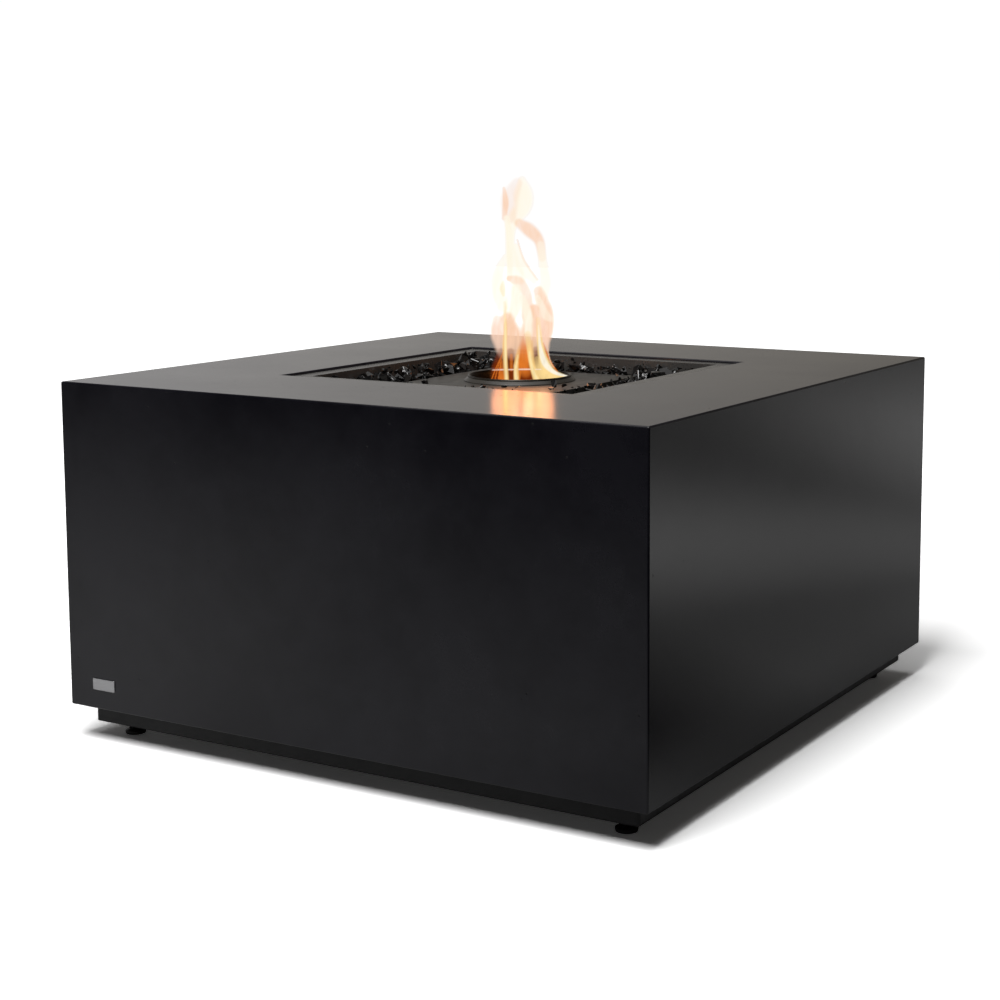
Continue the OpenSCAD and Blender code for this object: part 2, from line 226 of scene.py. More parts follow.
def painted(name, dark, light, rough=(0.35, 0.5), grain=1400.0, specular=0.5, bump=0.15):
    """Powder coat, enamel, board or moulded plastic: fine orange peel, colour drift and rubbed patches."""
    m = Finish(name, specular=specular)
    drift = m.noise(14.0, 4, 0.6)
    peel = m.noise(grain, 2, 0.5)
    m.set("Base Color", m.mix(m.remap(m.weigh(drift, 0.7, peel, 0.3), 0.35, 0.65), dark, light))
    m.set("Roughness", m.remap(m.noise(60.0, 3, 0.6), 0.3, 0.7, *rough))
    m.set("Normal", m.bump(peel, bump, 0.0002))
    return m.material


def brush(m, dark, light, rough, stretch, tint=None):
    """Streaks along one direction and smudges, with an optional heat tint. Returns colour and smudges."""
    streak = m.noise(1.0, 4, 0.7, m.scaled(*stretch))
    smudge = m.noise(22.0, 4, 0.6)
    colour = m.mix(m.remap(streak, 0.3, 0.7), dark, light)
    if tint:
        colour = m.mix(m.remap(smudge, 0.42, 0.62, 0, 0.8), colour, tint)
    m.set("Roughness", m.remap(m.weigh(streak, 0.5, smudge, 0.5), 0.35, 0.65, *rough))
    m.set("Normal", m.bump(streak, 0.12, 0.0001))
    return colour, smudge


def metal(name, *look, **more):
    """Brushed or drawn metal."""
    m = Finish(name, metallic=1.0)
    m.set("Base Color", brush(m, *look, **more)[0])
    return m.material


HEAT_TINTED = {"dark": (0.026, 0.021, 0.014), "light": (0.052, 0.042, 0.027), "rough": (0.26, 0.38),
               "stretch": (120, 120, 900), "tint": (0.032, 0.021, 0.012)}
# the radii between which the ring's tinted lip gives way to its dull skirt
LIP_EDGE = (0.0626, 0.0636)


def ring_steel():
    """Heat-tinted steel lip over a skirt that has the dull finish of the plate."""
    m = Finish("ring_steel")
    radius = m.vector_math("LENGTH", m.vector_math("MULTIPLY", m.coord, (1, 1, 0)))
    lip = m.remap(radius, *LIP_EDGE, 1.0, 0.0)
    tinted, smudge = brush(m, **HEAT_TINTED)
    dull = m.mix(m.remap(smudge, 0.35, 0.65), (0.036, 0.033, 0.028), (0.048, 0.044, 0.037))
    m.set("Base Color", m.mix(lip, dull, tinted))
    m.set("Metallic", lip)
    return m.material


def black_glass():
    m = Finish("crushed_glass_black")
    tone = m.remap(m.noise(38.0, 2, 0.5), 0.42, 0.62)
    m.set("Base Color", m.mix(tone, (0.0022, 0.0021, 0.0022), (0.0120, 0.0110, 0.0108)))
    m.set("Roughness", m.remap(m.noise(120.0, 2), 0.35, 0.7, 0.03, 0.18))
    m.set("Normal", m.bump(m.noise(140.0, 2, 0.5, distortion=0.8), 0.16, 0.0012))
    return m.material


def fibre():
    """Ceramic wool: soft matted strands."""
    m = Finish("ceramic_fibre", rough=0.95, specular=0.1)
    strands = m.noise(1.0, 5, 0.8, m.scaled(160, 520, 160))
    m.set("Base Color", m.mix(m.remap(strands, 0.35, 0.65), (0.42, 0.39, 0.33), (0.74, 0.72, 0.66)))
    m.set("Normal", m.bump(strands, 0.9, 0.002))
    return m.material


def rubber(name, dark, light):
    """Rubber, felt or foam: a matt surface with a fine grain."""
    m = Finish(name, specular=0.3)
    grain = m.noise(700.0, 3, 0.6)
    m.set("Base Color", m.mix(m.remap(grain, 0.35, 0.65), dark, light))
    m.set("Roughness", m.remap(m.noise(90.0, 3), 0.3, 0.7, 0.65, 0.85))
    m.set("Normal", m.bump(grain, 0.3, 0.0003))
    return m.material


MATERIALS = {
    "concrete": concrete(),
    "plinth": painted("plinth_powder_coat", (0.0040, 0.0040, 0.0046), (0.0062, 0.0062, 0.0068), specular=0.3),
    "tray": painted("tray_black_enamel", (0.056, 0.054, 0.051), (0.070, 0.068, 0.065), (0.20, 0.30),
                    specular=0.7, bump=0.06),
    "plate": painted("burner_plate_enamel", (0.036, 0.034, 0.030), (0.046, 0.044, 0.039), (0.34, 0.46),
                     bump=0.06),
    "plastic": painted("foot_pad_plastic", (0.006, 0.006, 0.006), (0.012, 0.012, 0.012), (0.45, 0.6), 900.0),
    "board": painted("insulating_board", (0.36, 0.33, 0.27), (0.52, 0.48, 0.40), (0.8, 0.95), 500.0,
                     specular=0.2, bump=0.4),
    "sole": rubber("foot_sole_rubber", (0.006, 0.006, 0.006), (0.014, 0.014, 0.014)),
    "gasket": rubber("gasket_felt", (0.018, 0.018, 0.017), (0.045, 0.044, 0.040)),
    "adhesive": rubber("adhesive_foam", (0.012, 0.012, 0.012), (0.03, 0.03, 0.03)),
    "zinc": metal("zinc_plated_steel", (0.34, 0.35, 0.36), (0.52, 0.53, 0.54), (0.28, 0.45), (60, 60, 600)),
    "stainless": metal("stainless_steel", (0.40, 0.39, 0.37), (0.56, 0.55, 0.52), (0.22, 0.36),
                       (25, 25, 1500)),
    "tinted": metal("heat_tinted_steel", **HEAT_TINTED),
    "ring": ring_steel(),
    "black_steel": metal("blackened_steel", (0.012, 0.012, 0.0125), (0.030, 0.030, 0.031), (0.32, 0.5),
                         (60, 60, 600)),
    "badge": metal("badge_brushed_metal", (0.42, 0.42, 0.43), (0.58, 0.58, 0.59), (0.30, 0.42),
                   (40, 40, 4000)),
    "glass": black_glass(),
    "fibre": fibre(),
}
# the material of each CAD node, by the start of its name
NODE_MATERIALS = {
    "concrete_shell": "concrete", "tray_gasket": "gasket",
    "badge_plate": "badge", "badge_adhesive": "adhesive",
    "plinth_rail": "plinth", "corner_plate": "plinth", "anchor": "zinc", "shim_pads": "plastic",
    "foot_inserts": "zinc", "foot_locknuts": "black_steel", "foot_stud": "black_steel",
    "foot_pad": "plastic", "foot_sole": "sole",
    "fire_tray": "tray", "burner_cradle": "tray", "burner_well": "tray",
    "burner_plate": "plate", "burner_neck": "stainless", "burner_drum": "stainless",
    "fuel_reservoir": "stainless", "reservoir_top": "stainless", "reservoir_spacers": "board",
    "ceramic_wick": "fibre", "burner_baffle": "tinted", "burner_collar": "tinted",
    "glass_bed": "glass", "loose_glass": "glass",
}
for node_name, node in frame["nodes"].items():
    start = next(start for start in NODE_MATERIALS if node_name.startswith(start))
    node.data.materials.clear()
    node.data.materials.append(MATERIALS[NODE_MATERIALS[start]])


# ---------------------------------------------------------------- mesh helpers
def finish_piece(ob, material, body, replaces=(), smooth=None):
    """Give a piece its material and body, and hide the CAD nodes that it stands for."""
    ob.data.materials.clear()
    ob.data.materials.append(MATERIALS[material])
    if smooth is not None:
        shade_smooth(ob, smooth)
    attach(ob, body)
    if replaces:
        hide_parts(*replaces)


def shade_smooth(ob, sharp_angle=180):
    """Smooth shading, with edges sharper than the angle left sharp."""
    for face in ob.data.polygons:
        face.use_smooth = True
    if sharp_angle < 180:
        ob.data.set_sharp_from_angle(angle=math.radians(sharp_angle))


def from_data(name, verts, faces):
    mesh = bpy.data.meshes.new(name)
    mesh.from_pydata([tuple(v) for v in verts], [], [tuple(f) for f in faces])
    mesh.update()
    ob = bpy.data.objects.new(name, mesh)
    bpy.context.scene.collection.objects.link(ob)
    return ob


def face_outward(ob):
    """Turn every face of a closed mesh to the outside."""
    bm = bmesh.new()
    bm.from_mesh(ob.data)
    bmesh.ops.recalc_face_normals(bm, faces=bm.faces)
    bm.to_mesh(ob.data)
    bm.free()
    return ob


def strips(loops, count, closed=False):
    """Quads between neighbouring loops of count points each; closed joins the last loop to the first."""
    faces = []
    for i in range(loops if closed else loops - 1):
        a, b = i * count, (i + 1) % loops * count
        faces += [(a + k, a + (k + 1) % count, b + (k + 1) % count, b + k) for k in range(count)]
    return faces


def caps(loops, count):
    """The two end faces of a tube of loops."""
    last = (loops - 1) * count
    return [list(range(count))[::-1], [last + k for k in range(count)]]


def lathe(name, profile, steps):
    """A solid of revolution about Z from a closed outline of (radius, height) points."""
    verts = []
    for k in range(steps):
        a = 2 * math.pi * k / steps
        verts += [(r * math.cos(a), r * math.sin(a), z) for r, z in profile]
    return face_outward(from_data(name, verts, strips(steps, len(profile), closed=True)))


def square_ring(name, profile):
    """A closed tube of square loops from a closed outline of (half side, height) points."""
    verts = []
    for h, z in profile:
        verts += [(-h, -h, z), (h, -h, z), (h, h, z), (-h, h, z)]
    return face_outward(from_data(name, verts, strips(len(profile), 4, closed=True)))


def arc(cx, cy, r, start, end, steps):
    """Points on an arc, with the angles in degrees."""
    angles = [math.radians(start + (end - start) * i / steps) for i in range(steps + 1)]
    return [(cx + r * math.cos(a), cy + r * math.sin(a)) for a in angles]


# ---------------------------------------------------------------- concrete shell
def cast_shell():
    """The concrete body, open below, with the rebate that holds the tray's flange."""
    rebate_half, rebate_depth = 0.203, 0.0065
    opening_half, top_thickness, wall = 0.185, 0.026, 0.018
    inner_half = HALF - wall
    shell = square_ring("cast_shell", [
        (HALF, Z_SHELL), (HALF, Z_TOP), (rebate_half, Z_TOP), (rebate_half, Z_TOP - rebate_depth),
        (opening_half, Z_TOP - rebate_depth), (opening_half, Z_TOP - top_thickness),
        (inner_half, Z_TOP - top_thickness), (inner_half, Z_SHELL)])
    edges = shell.modifiers.new("edges", "BEVEL")
    edges.width = 0.0022
    edges.segments = 3
    edges.limit_method = "ANGLE"
    edges.angle_limit = math.radians(30)
    edges.harden_normals = True
    finish_piece(shell, "concrete", "cabinet", ["concrete_shell"], smooth=40)


cast_shell()

# ---------------------------------------------------------------- crushed glass
rng = random.Random(11)
# half sides of the trough that holds the glass, and the usual height of the glass
BED_INNER, BED_OUTER = 0.1065, 0.1785
Z_BED = Z_TOP - 0.0150
# layers of chunks, lowest first: smallest and largest chunk, how many are tried, lift over the bed
LAYERS = [
    (0.022, 0.038, 700, -0.0070),
    (0.024, 0.042, 700, -0.0005),
    (0.012, 0.024, 90, 0.0030),
    (0.004, 0.008, 90, 0.0030),
]
# large chunks against the plate's right corner: x, y, size
CORNER_CHUNKS = [(0.121, 0.090, 0.027), (0.124, 0.060, 0.030), (0.143, 0.104, 0.033), (0.150, 0.075, 0.030)]
# small chunks that lie on the plate, in millimetres: x, y, size
STRAYS = [(34, -90, 11), (56, -94, 9), (-78, -92, 8), (95, -54, 9), (-92, 70, 9), (88, 86, 10), (8, -96, 8),
          (97, -88, 10), (-96, -60, 6), (-60, 97, 7), (20, 96, 7)]


def random_direction():
    return Vector((rng.gauss(0, 1), rng.gauss(0, 1), rng.gauss(0, 1))).normalized()


def chunk_shapes(count):
    """Angular chunks as (points, faces), about 1 across, with worn edges."""
    shapes = []
    for _ in range(count):
        bm = bmesh.new()
        radii = (0.5, rng.uniform(0.36, 0.5), rng.uniform(0.26, 0.42))
        for _ in range(rng.randint(6, 9)):
            d = random_direction()
            reach = rng.uniform(0.82, 1.0)
            bm.verts.new((d.x * radii[0] * reach, d.y * radii[1] * reach, d.z * radii[2] * reach))
        bmesh.ops.convex_hull(bm, input=bm.verts)
        loose = [v for v in bm.verts if not v.link_faces]
        bmesh.ops.delete(bm, geom=loose, context="VERTS")
        bmesh.ops.dissolve_limit(bm, angle_limit=math.radians(16), verts=bm.verts, edges=bm.edges)
        bmesh.ops.bevel(bm, geom=bm.edges, offset=0.022, segments=1, affect="EDGES", clamp_overlap=True)
        bmesh.ops.triangulate(bm, faces=[f for f in bm.faces if len(f.verts) > 4])
        bm.verts.index_update()
        shapes.append((np.array([v.co for v in bm.verts]), [[v.index for v in f.verts] for f in bm.faces]))
        bm.free()
    return shapes


CHUNK_SHAPES = chunk_shapes(28)


def scatter(name, chunks):
    """One mesh of many chunks, each a (position, size, turn)."""
    verts, faces, base = [], [], 0
    for position, size, turn in chunks:
        points, shape_faces = CHUNK_SHAPES[rng.randrange(len(CHUNK_SHAPES))]
        verts.append(points @ np.array(turn).T * size + np.array(position))
        faces += [[i + base for i in face] for face in shape_faces]
        base += len(points)
    return from_data(name, np.vstack(verts), faces)


def any_turn(tilt):
    """Any heading, with a random lean that grows with tilt."""
    heading = Matrix.Rotation(rng.uniform(0, 2 * math.pi), 3, "Z")
    lean_x = Matrix.Rotation(rng.gauss(0, 0.5) * tilt, 3, "X")
    lean_y = Matrix.Rotation(rng.gauss(0, 0.5) * tilt, 3, "Y")
    return heading @ lean_x @ lean_y


def bed_height(x, y):
    """Loose waves, higher against the left and back walls, sunk at the front right corner."""
    waves = 0.0020 * math.sin(47 * x + 3) * math.cos(39 * y + 1) + 0.0016 * math.sin(91 * x - 60 * y)
    slope = 0.028 * max(0, -x) + 0.020 * max(0, y)
    sunk = 0.0050 * math.exp(-((x - 0.130) ** 2 + (y + 0.130) ** 2) / 0.045 ** 2)
    return Z_BED + waves + slope - sunk


def layer_chunks(turn, smallest, largest, tries, lift):
    """Chunks of one layer on one side, spaced so that neighbours barely overlap."""
    chunks, placed = [], []
    for _ in range(tries):
        size = rng.uniform(smallest, largest)
        half = rng.uniform(BED_INNER + 0.47 * size, BED_OUTER - 0.47 * size)
        along = rng.uniform(-half, half)
        if any((along - a) ** 2 + (half - h) ** 2 < (0.41 * (size + s)) ** 2 for a, h, s in placed):
            continue
        placed.append((along, half, size))
        p = turn @ Vector((along, -half, 0))
        z = bed_height(p.x, p.y) + lift - 0.16 * size + rng.uniform(-0.0016, 0.0016)
        chunks.append(((p.x, p.y, z), size, any_turn(1.2)))
    return chunks


def filling(name, turn, along_steps=60, across_steps=12):
    """The rough body of glass under the chunks of one side, closed down to the tray's floor."""
    verts = []
    for i in range(along_steps + 1):
        for j in range(across_steps + 1):
            half = BED_OUTER + (BED_INNER - BED_OUTER) * j / across_steps
            p = turn @ Vector((half * (2 * i / along_steps - 1), -half, 0))
            verts.append((p.x, p.y, bed_height(p.x, p.y) - 0.012 + rng.uniform(-0.0015, 0.0015)))

    def index(i, j):
        return i * (across_steps + 1) + j

    faces = [(index(i, j), index(i, j + 1), index(i + 1, j + 1), index(i + 1, j))
             for i in range(along_steps) for j in range(across_steps)]
    rim = [index(i, 0) for i in range(along_steps)]
    rim += [index(along_steps, j) for j in range(across_steps)]
    rim += [index(i, across_steps) for i in range(along_steps, 0, -1)]
    rim += [index(0, j) for j in range(across_steps, 0, -1)]
    top, count = len(verts), len(rim)
    tray_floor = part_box("fire_tray")[0].z + 0.0021
    verts += [(verts[r][0], verts[r][1], tray_floor) for r in rim]
    faces += [(rim[k], rim[(k + 1) % count], top + (k + 1) % count, top + k) for k in range(count)]
    faces.append([top + k for k in range(count)])
    return from_data(name, verts, faces)


def glass_side(number, side):
    """Crushed glass on one side of the tray: chunks packed in layers over a filling."""
    turn = Matrix.Rotation(math.radians(90 * number), 3, "Z")
    chunks = []
    for layer in LAYERS:
        chunks += layer_chunks(turn, *layer)
    if side == "right":
        chunks += [((x, y, bed_height(x, y) + 0.0025), size, any_turn(0.8)) for x, y, size in CORNER_CHUNKS]
    bed = scatter("crushed_glass_" + side, chunks)
    below = filling("glass_filling_" + side, turn)
    finish_piece(face_outward(bed), "glass", "fire_tray_unit", ["glass_bed_" + side])
    finish_piece(face_outward(below), "glass", "fire_tray_unit")


def stray_glass():
    """Chunks on the burner plate, with one large one that stands on its end in front of the ring."""
    chunks = [((x / 1000, y / 1000, Z_PLATE + 0.00036 * size), size / 1000, any_turn(0.3))
              for x, y, size in STRAYS]
    upright = Matrix.Rotation(math.radians(40), 3, "Z") @ Matrix.Rotation(math.radians(80), 3, "Y")
    stout = Matrix.Diagonal((0.74, 1.2, 1.3))
    chunks.append(((0.087, -0.077, Z_PLATE + 0.0082), 0.0270, upright @ stout))
    finish_piece(scatter("stray_glass", chunks), "glass", "burner_unit", ["loose_glass"])


for number, side in enumerate(SIDES):
    glass_side(number, side)
stray_glass()


# ---------------------------------------------------------------- burner ring
def burner_ring():
    """A rolled lip over a sloping skirt that rests on the plate, with a spigot down the mouth."""
    z = Z_PLATE
    spigot = [(0.0596, z - 0.0100), (0.0606, z - 0.0100), (0.0606, z + 0.0041)]
    skirt_below = [(0.0618, z + 0.0039), (0.0668, z), (0.0677, z)]
    skirt_edge = [(0.0680, z + 0.0004), (0.0679, z + 0.0009), (0.0675, z + 0.0013)]
    lip = arc(0.0618, z + 0.0054, 0.0015, -30, 190, 18)
    inside = [(0.0598, z + 0.0050), (0.0596, z + 0.0046)]
    ring = lathe("burner_ring", spigot + skirt_below + skirt_edge + lip + inside, 200)
    finish_piece(ring, "ring", "collar", ["burner_collar"], smooth=50)


burner_ring()

# ---------------------------------------------------------------- levelling studs
STUD_RADIUS, THREAD_DEPTH, PITCH = 0.004, 0.00062, 0.00125
BALL_RADIUS, BALL_HEIGHT, NECK_RADIUS = 0.005, 0.003, 0.0035
HEX_HALF_WIDTH, HEX_END_RADIUS = 0.0065, 0.0066


def stud_radius(turn, z, hex_low, hex_high, base, tip):
    """Outline at one angle and height: ball seat, neck, chamfered hexagon, then a right-hand thread."""
    if z < base + BALL_HEIGHT:
        return BALL_RADIUS
    if z < hex_low:
        return NECK_RADIUS
    if z <= hex_high:
        flat = HEX_HALF_WIDTH / math.cos(math.radians(math.degrees(turn) % 60 - 30))
        return min(flat, HEX_END_RADIUS + 1.4 * min(z - hex_low, hex_high - z))
    wave = abs(2 * ((z / PITCH - turn / (2 * math.pi)) % 1) - 1)
    run_out = min(1.0, (z - hex_high) / 0.002)
    thread = STUD_RADIUS - THREAD_DEPTH * run_out * min(1.0, 1.35 * wave)
    return min(thread, STUD_RADIUS - 0.001 + max(0.0, tip - z))


def levelling_stud(corner):
    """One stud, from its ball seat in the foot pad to its tip."""
    low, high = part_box("foot_stud_" + corner)
    centre, base, tip = (low + high) / 2, low.z, high.z
    gap, chamfer, tiny = 0.0003, 0.0007, 0.00001
    hex_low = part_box("foot_pad_" + corner)[1].z + gap
    hex_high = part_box("foot_locknuts")[0].z - gap
    levels = [base, base + BALL_HEIGHT - tiny, base + BALL_HEIGHT, hex_low - tiny,
              hex_low, hex_low + chamfer, hex_high - chamfer, hex_high]
    rows = int((tip - hex_high) / (PITCH / 6))
    levels += [hex_high + tiny + (tip - hex_high - tiny) * i / rows for i in range(rows + 1)]
    around, verts = 36, []
    for z in levels:
        for k in range(around):
            a = 2 * math.pi * k / around
            r = stud_radius(a, z, hex_low, hex_high, base, tip)
            verts.append((centre.x + r * math.cos(a), centre.y + r * math.sin(a), z))
    faces = strips(len(levels), around) + caps(len(levels), around)
    stud = from_data("levelling_stud_" + corner, verts, faces)
    finish_piece(stud, "black_steel", "stud_" + corner, ["foot_stud_" + corner], smooth=35)


for corner in CORNERS:
    levelling_stud(corner)


# ---------------------------------------------------------------- badge
def badge():
    """A blank plate with rounded corners and a fine raised border."""
    low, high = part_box("badge_plate")
    centre, size = (low + high) / 2, high - low
    corner_radius, least_radius = 0.0008, 0.0002
    # inset from the edge and depth from the back of the plate, from the back face to the sunk field
    section = [(0.0, 0.0), (0.0, 0.00055), (0.00018, 0.0008), (0.0007, 0.0008), (0.0009, 0.00058),
               (0.0016, 0.00058)]
    loops = []
    for inset, depth in section:
        r = max(least_radius, corner_radius - inset)
        loop = []
        for side_x, side_z, start in ((1, 1, 0), (-1, 1, 90), (-1, -1, 180), (1, -1, 270)):
            for u, v in arc(0, 0, r, start, start + 90, 5):
                x = centre.x + side_x * (size.x / 2 - inset - r) + u
                z = centre.z + side_z * (size.z / 2 - inset - r) + v
                loop.append((x, high.y - depth, z))
        loops.append(loop)
    count = len(loops[0])
    faces = strips(len(loops), count) + caps(len(loops), count)
    plate = face_outward(from_data("badge_blank", [p for loop in loops for p in loop], faces))
    finish_piece(plate, "badge", "cabinet", ["badge_plate"], smooth=40)


badge()

# ---------------------------------------------------------------- flame (not part of the object)
FLAME_BASE = 0.405
TINT = {
    "hot": (1.0, 0.80, 0.42), "amber": (0.96, 0.60, 0.22), "cream": (1.0, 0.94, 0.78),
    "gold": (1.0, 0.72, 0.30), "peach": (0.95, 0.61, 0.41), "blush": (0.97, 0.66, 0.50),
    # edge is a painted highlight: the flame's glare on the ring's far lip
    "orange": (0.82, 0.21, 0.024), "ember": (0.19, 0.026, 0.003), "edge": (1.0, 0.80, 0.66),
}
# strands of the flame, and one painted highlight of the ring's far lip, drawn back to front: a tint, then
# points of (across, height over the ring, half width, density), with the lengths in millimetres
STRANDS = [
    ("cream", [(4, 242, 5, 0.5), (6, 224, 12, 0.8), (4, 208, 11, 0.8), (-8, 192, 8, 0.75),
               (-11, 166, 6, 0.8), (-7, 140, 9, 0.75), (0, 124, 9, 0.6)]),
    ("peach", [(-2, 238, 7, 0.3), (-11, 220, 11, 0.4), (-11, 198, 9, 0.35)]),
    ("peach", [(-18, 232, 2, 0.5), (-16, 215, 4, 0.7), (-18, 196, 3, 0.5)]),
    ("cream", [(-15, 196, 4, 0.7), (-11, 170, 4, 0.85), (-12, 124, 4, 0.7)]),
    ("peach", [(0, 190, 6, 0.6), (12, 182, 9, 0.75), (24, 169, 7, 0.75), (28, 148, 5, 0.5)]),
    ("cream", [(26, 164, 5, 0.5), (29, 140, 6, 0.7), (32, 118, 8, 0.7), (27, 99, 8, 0.6)]),
    ("peach", [(-2, 170, 1, 0.5), (6, 145, 1.5, 0.6), (22, 122, 2, 0.5)]),
    ("cream", [(-4, 162, 4, 0.6), (4, 136, 7, 0.7), (18, 120, 4, 0.6)]),
    ("cream", [(-17, 150, 3, 0.5), (-26, 126, 8, 0.7), (-25, 104, 9, 0.75), (-21, 88, 7, 0.7)]),
    ("gold", [(-19, 119, 2, 0.3), (-20, 111, 4, 0.4), (-19, 103, 2, 0.3)]),
    ("peach", [(-12, 123, 4, 0.6), (0, 119, 7, 0.6), (9, 104, 7, 0.6), (10, 78, 9, 0.7)]),
    ("gold", [(-9, 114, 5, 0.3), (-13, 92, 5, 0.35), (-13, 78, 4, 0.4)]),
    ("cream", [(-3, 111, 6, 0.8), (-4, 88, 7, 0.85), (-13, 70, 5, 0.7)]),
    ("peach", [(23, 108, 7, 0.6), (32, 84, 10, 0.85), (34, 60, 8, 0.9), (30, 46, 6, 0.8)]),
    ("cream", [(22, 100, 4, 0.6), (31, 80, 6, 0.55), (40, 73, 3, 0.4)]),
    ("blush", [(-27, 73, 7, 0.6), (-28, 58, 8, 0.85), (-22, 42, 9, 0.7), (-20, 32, 7, 0.35)]),
    ("peach", [(-15, 74, 9, 0.8), (-9, 54, 13, 0.95), (-8, 36, 12, 0.7)]),
    ("peach", [(18, 86, 7, 0.8), (14, 60, 14, 0.95), (10, 36, 13, 0.7)]),
    ("cream", [(4, 100, 4, 0.6), (10, 80, 6, 0.9), (11, 62, 6, 0.8), (10, 46, 5, 0.4)]),
    ("blush", [(24, 66, 9, 0.8), (29, 46, 8, 0.9), (32, 31, 3, 0.4)]),
    ("ember", [(-22, 34, 5, 0.3), (-25, 14, 9, 0.9), (-24, 0, 11, 0.95)]),
    ("ember", [(-11, 34, 5, 0.4), (-11, 10, 8, 0.8), (-10, 0, 9, 0.85)]),
    ("ember", [(20, 36, 5, 0.4), (21, 14, 7, 0.8), (12, 2, 13, 0.9)]),
    ("orange", [(9, 50, 7, 0.3), (6, 32, 9, 0.85), (4, 20, 9, 0.9), (7, 10, 8, 0.4)]),
    ("orange", [(-22, 22, 2, 0.3), (-22, 0, 4, 0.85)]),
    ("orange", [(-10, 30, 2, 0.4), (-10, 12, 2, 0.6)]),
    ("orange", [(0, 9, 2, 0.6), (-1, 0, 2, 0.6)]),
    ("amber", [(14, 46, 3, 0.4), (15, 24, 3.5, 0.85), (20, 0, 4, 0.9)]),
    ("gold", [(21, 26, 3, 0.4), (27, 9, 8, 0.9), (38, 1, 7, 0.95)]),
    # a painted highlight: the ring's far lip as the flame lights it, drawn into the flame sheet
    ("edge", [(-33, 12, 0.6, 0.6), (0, 12.6, 0.9, 0.9), (26, 12.6, 0.8, 0.9)]),
    ("amber", [(-18, 94, 2, 0.2), (-17, 60, 2.5, 0.6), (-18, 38, 3, 0.8), (-16, 0, 3, 0.9)]),
    ("hot", [(-18, 84, 1, 0.4), (-17, 58, 1.5, 0.9), (-17, 22, 1.4, 1), (-16, 0, 1.3, 0.9)]),
    ("amber", [(0, 40, 2, 0.2), (-4, 20, 3, 0.9), (-4, 0, 3.5, 0.95)]),
    ("hot", [(-2, 30, 1, 0.5), (-5, 12, 1.5, 0.9), (-4, 0, 2, 1)]),
    ("gold", [(10, 56, 4, 0.4), (12, 34, 3, 0.8), (15, 16, 3, 0.9), (21, 0, 4, 0.95)]),
    ("hot", [(12, 34, 1.2, 0.7), (15, 15, 1.5, 0.95), (21, 0, 2, 0.9)]),
    ("gold", [(23, 74, 3, 0.3), (25, 44, 4, 0.95), (31, 20, 7, 1), (39, 8, 6, 1), (52, 3, 4, 1)]),
    ("cream", [(23, 66, 1, 0.4), (25, 42, 2, 0.9), (30, 22, 4, 0.9), (38, 12, 3, 0.9), (47, 7, 2, 1),
               (60, 4, 0.8, 0.9)]),
    ("orange", [(29, 45, 1, 0.3), (34, 30, 1.2, 0.9), (40, 18, 1, 0.9), (46, 10, 0.8, 0.7)]),
    ("peach", [(33, 46, 0.8, 0.5), (37, 24, 0.8, 0.7), (42, 15, 0.6, 0.5)]),
]
for k in range(3):
    # thin streaks low at the left, each shorter and farther out than the last
    top, middle, foot = (-20 - k, 36 - 3 * k), (-23 - 2.5 * k, 20 - 2 * k), (-26 - 4 * k, 1)
    STRANDS.append(("orange", [(*top, 0.5, 0.3), (*middle, 0.6, 0.7), (*foot, 0.6, 0.7)]))


def spline(points, steps):
    """Catmull-Rom curve through rows of numbers."""
    rows = np.array([points[0], *points, points[-1]], float)
    curve = []
    for p0, p1, p2, p3 in zip(rows, rows[1:], rows[2:], rows[3:]):
        for k in range(steps):
            t = k / steps
            curve.append(0.5 * (2 * p1 + (p2 - p0) * t + (2 * p0 - 5 * p1 + 4 * p2 - p3) * t * t
                                + (3 * p1 - p0 - 3 * p2 + p3) * t ** 3))
    curve.append(rows[-2])
    return np.array(curve)


def stroke(X, Z, points):
    """Density of one soft stroke over the grid."""
    line = spline(points, 8)
    density = np.zeros(X.shape)
    for a, b in zip(line[:-1], line[1:]):
        d = b[:2] - a[:2]
        t = np.clip(((X - a[0]) * d[0] + (Z - a[1]) * d[1]) / max(1e-9, d @ d), 0, 1)
        distance = np.hypot(X - a[0] - t * d[0], Z - a[1] - t * d[1])
        half_width = np.maximum(0.3, a[2] + t * (b[2] - a[2]))
        s = np.clip((1.22 - distance / half_width) / 0.66, 0, 1)
        density = np.maximum(density, s * s * (3 - 2 * s) * (a[3] + t * (b[3] - a[3])))
    return density


def flame_colours(X, Z):
    """Colour and density of the gas: the strokes laid over one another."""
    rgb, clear = np.zeros((*X.shape, 3)), np.ones(X.shape)
    for tint, points in STRANDS:
        density = stroke(X, Z, points)
        rgb = rgb * (1 - density[..., None]) + density[..., None] * np.array(TINT[tint])
        clear *= 1 - density
    alpha = 1 - clear
    rgb = rgb / np.maximum(alpha, 1e-3)[..., None]
    # the thin outer skin is duller than the gas inside it
    skin = np.clip(1 - np.abs(alpha - 0.30) / 0.28, 0, 1) * np.clip((Z - 45) / 30, 0, 1) * 0.75
    rgb = rgb * (1 - skin[..., None]) + skin[..., None] * np.array((0.80, 0.66, 0.60))
    return rgb, alpha


